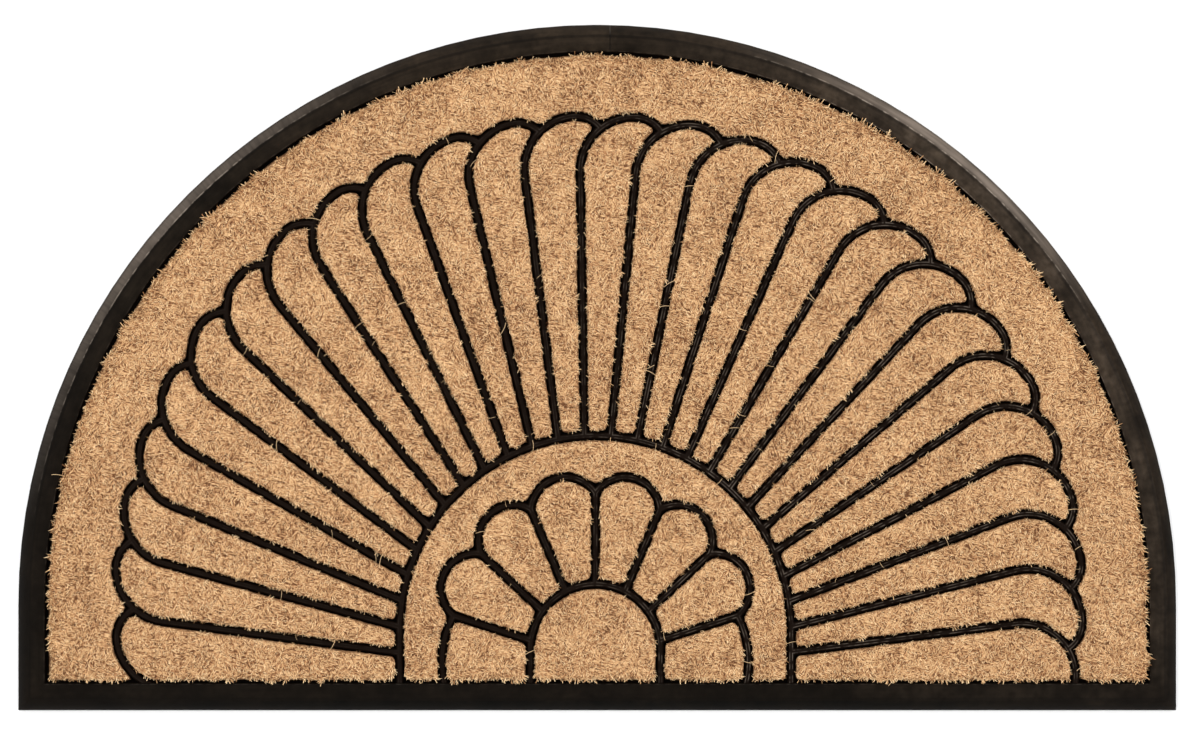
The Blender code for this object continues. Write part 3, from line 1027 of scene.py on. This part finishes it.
    def spread_by_shade(self, geometry):
        """Moves each fibre's strip along the pad's map, so that each shade has its own place."""
        by_shade = SHADE_ON_MAP * self.named("shade") + (1 - SHADE_ON_MAP) / 2
        moved = self.vector(by_shade * self.named("fibre"))
        spread = self.named("OFBake", "FLOAT_VECTOR").vector_math("ADD", moved)
        return self.stored(geometry, "OFBake", spread, "FLOAT2", "CORNER")


def with_fibres(obj, tree, values):
    """Runs the tree on the pad and keeps the result as a plain mesh."""
    modifier = obj.modifiers.new("fibres", "NODES")
    modifier.node_group = tree
    for item in tree.interface.items_tree:
        if item.in_out == "INPUT" and item.name in values:
            modifier[item.identifier] = values[item.name]
    bpy.context.view_layer.update()
    evaluated = obj.evaluated_get(bpy.context.evaluated_depsgraph_get())
    made = bpy.data.meshes.new_from_object(evaluated)
    obj.modifiers.clear()
    plain = obj.data
    obj.data = made
    bpy.data.meshes.remove(plain)
    made.name = obj.name


def new_object(name, data):
    made = bpy.data.objects.new(name, data)
    bpy.context.scene.collection.objects.link(made)
    return made


def hang_light(name, place, size, power):
    """A square soft light that faces the mat."""
    lamp = bpy.data.lights.new(name, "AREA")
    lamp.size = size
    lamp.energy = power
    light = new_object(name, lamp)
    light.location = place
    light.rotation_euler = (-place).to_track_quat("-Z", "Y").to_euler()


def amount(name, description, default, **kind):
    """A number in the sidebar."""
    return bpy.props.FloatProperty(name=name, description=description, default=default, **kind)


def distance(name, description, default):
    """A length in the sidebar."""
    return amount(name, description, default, unit="LENGTH", subtype="DISTANCE")


def colour(name, description, *default):
    """A colour in the sidebar, from its red, green and blue."""
    return bpy.props.FloatVectorProperty(
        name=name, description=description, default=(*default, 1.0), size=4, subtype="COLOR"
    )


class DoormatSizes(bpy.types.PropertyGroup):
    """The sizes and colours that a user would change."""

    fibre_density: amount("Fibres", "Cut fibres on a square metre of pile", 0.74e6)
    fibre_length: distance("Fibre length", "How far a fibre stands out of the pile", 0.0032)
    fibre_width: distance("Fibre width", "A fibre's width at its root", 0.00062)
    uprightness: amount("Uprightness", "How strongly a fibre stands up, against its random lean", 0.50)
    hairs_on_top: amount("Hairs on top", "Loose hairs on a square metre of pile", 300.0)
    hairs_at_rim: amount("Hairs at the rim", "More hairs on a square metre of the band round a pad", 1500.0)
    lean: bpy.props.FloatVectorProperty(
        name="Lean",
        description="Where all the fibres lean a little, towards the straight edge",
        default=(-0.15, -0.25, 0.0),
        subtype="DIRECTION",
    )
    raggedness: distance("Raggedness", "How far a pad's edge wanders in and out", 0.0008)
    coir_tan: colour("Coir tan", "Most of the coir", 0.71, 0.448, 0.221)
    coir_straw: colour("Coir straw", "The palest fibres", 0.97, 0.727, 0.427)
    coir_shade: colour("Coir shade", "The coir between fibres", 0.38, 0.19, 0.082)
    coir_dark: colour("Coir dark", "The darkest fibres", 0.10, 0.038, 0.014)
    # Painted shade: the colour the coir darkens to at the fibres' roots and deep between the fibres
    coir_deep_shade: colour("Coir root", "The coir deep in the pile", 0.21, 0.090, 0.038)
    rubber_colour: colour("Rubber", "Clean rubber", 0.0032, 0.0025, 0.0019)
    rubber_inside: colour("Rubber inside", "The ribs and the pockets", 0.0074, 0.0045, 0.0031)
    # Also the painted shade on the sloping rim along the straight edge, and the seam's dark line
    rubber_black_and_shade: colour("Black rubber", "The rim along the straight edge", 0.0020, 0.0019, 0.0016)
    # Brown dust, laid on heavier on the right side and top as painted light
    rubber_brown_dust_and_light: colour("Brown dust", "Dust on the flat border", 0.060, 0.0415, 0.0265)
    # Grey dust on the arcs' sloping rim, partly painted reflection
    rubber_dust_and_sheen: colour("Grey dust", "Dust on the sloping rim", 0.185, 0.149, 0.121)
    # Painted highlight along the border's edges and the ribs, and the seam's pale part
    rubber_highlight_and_seam: colour("Worn rubber", "Edges rubbed pale", 0.30, 0.25, 0.20)


class DOORMAT_OT_lay_stage(bpy.types.Operator):
    """Lays the pale floor and sets the soft lights and the camera"""

    bl_idname = "doormat.lay_stage"
    bl_label = "Lay the stage"

    def execute(self, context):
        scene = context.scene
        floor_mesh = bpy.data.meshes.new("pale_floor")
        corners = [(x * FLOOR_REACH, y * FLOOR_REACH, 0.0) for x, y in ((-1, -1), (1, -1), (1, 1), (-1, 1))]
        floor_mesh.from_pydata(corners, [], [(0, 1, 2, 3)])
        floor = new_object("pale_floor", floor_mesh)
        floor.location.z = -FLOOR_DROP
        finish = Finish("pale_floor")
        finish.wear({"Base Color": FLOOR_COLOUR, "Roughness": 0.9})
        floor_mesh.materials.append(finish.material)
        world = bpy.data.worlds.new("soft_room")
        world.use_nodes = True
        sky = world.node_tree.nodes["Background"]
        sky.inputs["Color"].default_value = SKY_COLOUR
        sky.inputs["Strength"].default_value = SKY_STRENGTH
        scene.world = world
        for number in range(SOFT_LIGHTS):
            bearing = 2 * math.pi * number / SOFT_LIGHTS
            place = Vector((*(LIGHT_REACH * direction(bearing)), LIGHT_HEIGHT))
            strength = 1 + BRIGHT_SIDE * math.cos(bearing - BRIGHT_BEARING)
            hang_light(f"soft_light_{number + 1}", place, LIGHT_SIZE, LIGHT_POWER * strength)
        hang_light("glint_light", GLINT_PLACE, GLINT_SIZE, GLINT_POWER)
        lens = bpy.data.cameras.new("camera")
        lens.sensor_width = SENSOR_WIDTH
        lens.lens = SENSOR_WIDTH * CAMERA_PLACE.z / VIEW_WIDTH
        scene.camera = new_object("camera", lens)
        scene.camera.location = CAMERA_PLACE
        scene.view_settings.view_transform = "Standard"
        return {"FINISHED"}


class DOORMAT_OT_mould_tray(bpy.types.Operator):
    """Moulds the rubber tray with its border and its rounded ribs"""

    bl_idname = "doormat.mould_tray"
    bl_label = "Mould the tray"

    def execute(self, context):
        mesh = tray_mesh(all_cells())
        mesh.materials.append(rubber_finish(context.scene.doormat))
        tray = new_object("rubber_tray_moulding", mesh)
        mesh.shade_smooth()
        mesh.set_sharp_from_angle(angle=math.radians(40))
        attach(tray, "root")
        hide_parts("rubber_tray")
        return {"FINISHED"}


class DOORMAT_OT_fill_pockets(bpy.types.Operator):
    """Fills each pocket with a pad of coir and plants the cut fibres on it"""

    bl_idname = "doormat.fill_pockets"
    bl_label = "Fill the pockets"

    def execute(self, context):
        sizes = context.scene.doormat
        tree = Planting(coir_finish(sizes)).tree
        values = {name: getattr(sizes, size) for name, size in PLANTING_SIZES.items()}
        for number, (node, sides) in enumerate(all_cells().items()):
            name = node.replace("coir", "pile")
            piece = new_object(name, pad_mesh(name, sides, number, sizes.raggedness))
            with_fibres(piece, tree, values | {"Seed": number})
            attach(piece, "root")
            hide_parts(node)
        return {"FINISHED"}


TOOLS = (DOORMAT_OT_lay_stage, DOORMAT_OT_mould_tray, DOORMAT_OT_fill_pockets)


class DOORMAT_PT_sidebar(bpy.types.Panel):
    """The doormat's tools in the sidebar"""

    bl_label = "Half-round doormat"
    bl_space_type = "VIEW_3D"
    bl_region_type = "UI"
    bl_category = "Doormat"

    def draw(self, context):
        for name in DoormatSizes.__annotations__:
            self.layout.prop(context.scene.doormat, name)
        for tool in TOOLS:
            self.layout.operator(tool.bl_idname)


CLASSES = (DoormatSizes, *TOOLS, DOORMAT_PT_sidebar)


def register():
    for kind in CLASSES:
        bpy.utils.register_class(kind)
    bpy.types.Scene.doormat = bpy.props.PointerProperty(type=DoormatSizes)


def unregister():
    del bpy.types.Scene.doormat
    for kind in reversed(CLASSES):
        bpy.utils.unregister_class(kind)


def plain(box):
    return [[float(number) for number in corner] for corner in box]


def main():
    register()
    bpy.ops.doormat.lay_stage()
    bpy.ops.doormat.mould_tray()
    bpy.ops.doormat.fill_pockets()


if __name__ == "__main__":
    main()
